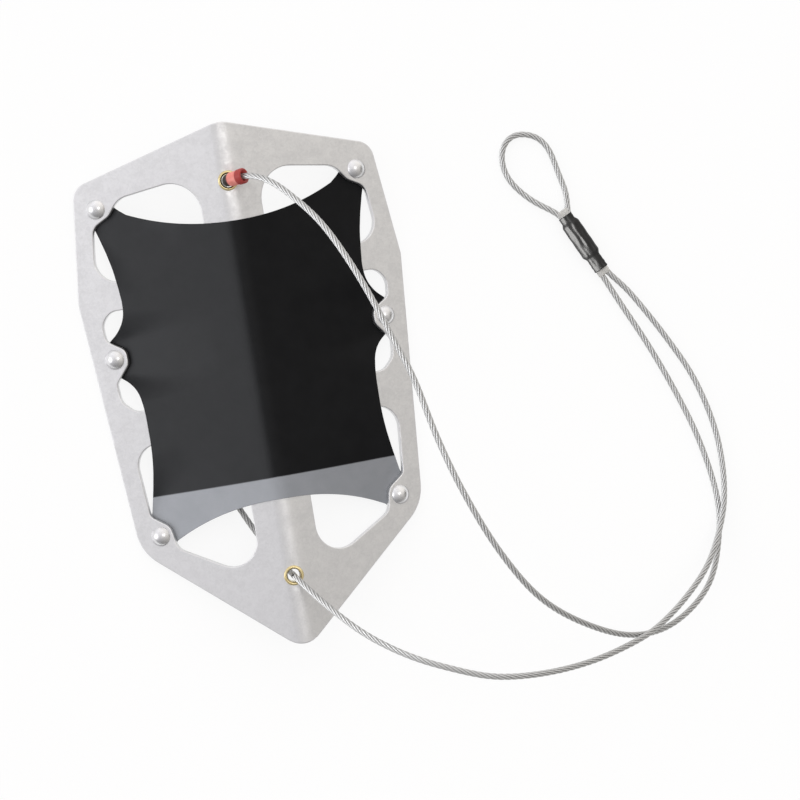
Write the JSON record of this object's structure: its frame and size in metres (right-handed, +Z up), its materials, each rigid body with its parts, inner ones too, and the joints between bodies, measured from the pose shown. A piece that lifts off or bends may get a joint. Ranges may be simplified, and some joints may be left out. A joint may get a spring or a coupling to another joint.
{
  "type": "snow fluke anchor",
  "caption": "Folded aluminium snow anchor plate with a fabric deck panel riveted behind its tabs, and a swinging wire rope bridle that ends in a sleeved eye.",
  "frame": {"origin": "on the floor under the middle of the plate's length, in the plane of the crease", "axes": "+Y along the crease to the end with the stop, +X to the side where the bridle lies, +Z up from the floor"},
  "size_m": [0.3319, 0.3074, 0.0955],
  "materials": {
    "plate_aluminium": "tumbled satin",
    "panel_fabric": "coated, matt, plain grey lower band",
    "rivet_aluminium": "polished",
    "washer_aluminium": "plain",
    "grommet_brass": "rolled, polished",
    "stop_red": "red, satin",
    "rope_steel": "galvanised strands",
    "swage_aluminium": "pressed",
    "liner_clear": "translucent, soft",
    "shrink_black": "glossy heat-shrink"
  },
  "bodies": {
    "fluke": {"fluke_plate": "plate_aluminium", "deck_panel": "panel_fabric", "rivet_left_upper": "rivet_aluminium", "rivet_left_middle": "rivet_aluminium", "rivet_left_lower": "rivet_aluminium", "rivet_right_upper": "rivet_aluminium", "rivet_right_middle": "rivet_aluminium", "rivet_right_lower": "rivet_aluminium", "washer_left_upper": "washer_aluminium", "washer_left_middle": "washer_aluminium", "washer_left_lower": "washer_aluminium", "washer_right_upper": "washer_aluminium", "washer_right_middle": "washer_aluminium", "washer_right_lower": "washer_aluminium", "grommet_upper": "grommet_brass", "grommet_upper_washer": "grommet_brass", "grommet_lower": "grommet_brass", "grommet_lower_washer": "grommet_brass", "cable_back_run": "rope_steel"},
    "bridle": {"stop_sleeve": "stop_red", "cable_upper_leg": "rope_steel", "cable_lower_leg": "rope_steel", "cable_eye": "rope_steel", "swage_sleeve": "swage_aluminium", "shrink_liner": "liner_clear", "shrink_cover": "shrink_black"}
  },
  "joints": [
    {"name": "bridle_swing", "type": "hinge", "parent": "fluke", "child": "bridle", "pos_m": [0, 0.10692, 0.03729], "axis": [0, -0.9996, -0.0282], "range_deg": [0, 100]}
  ]
}
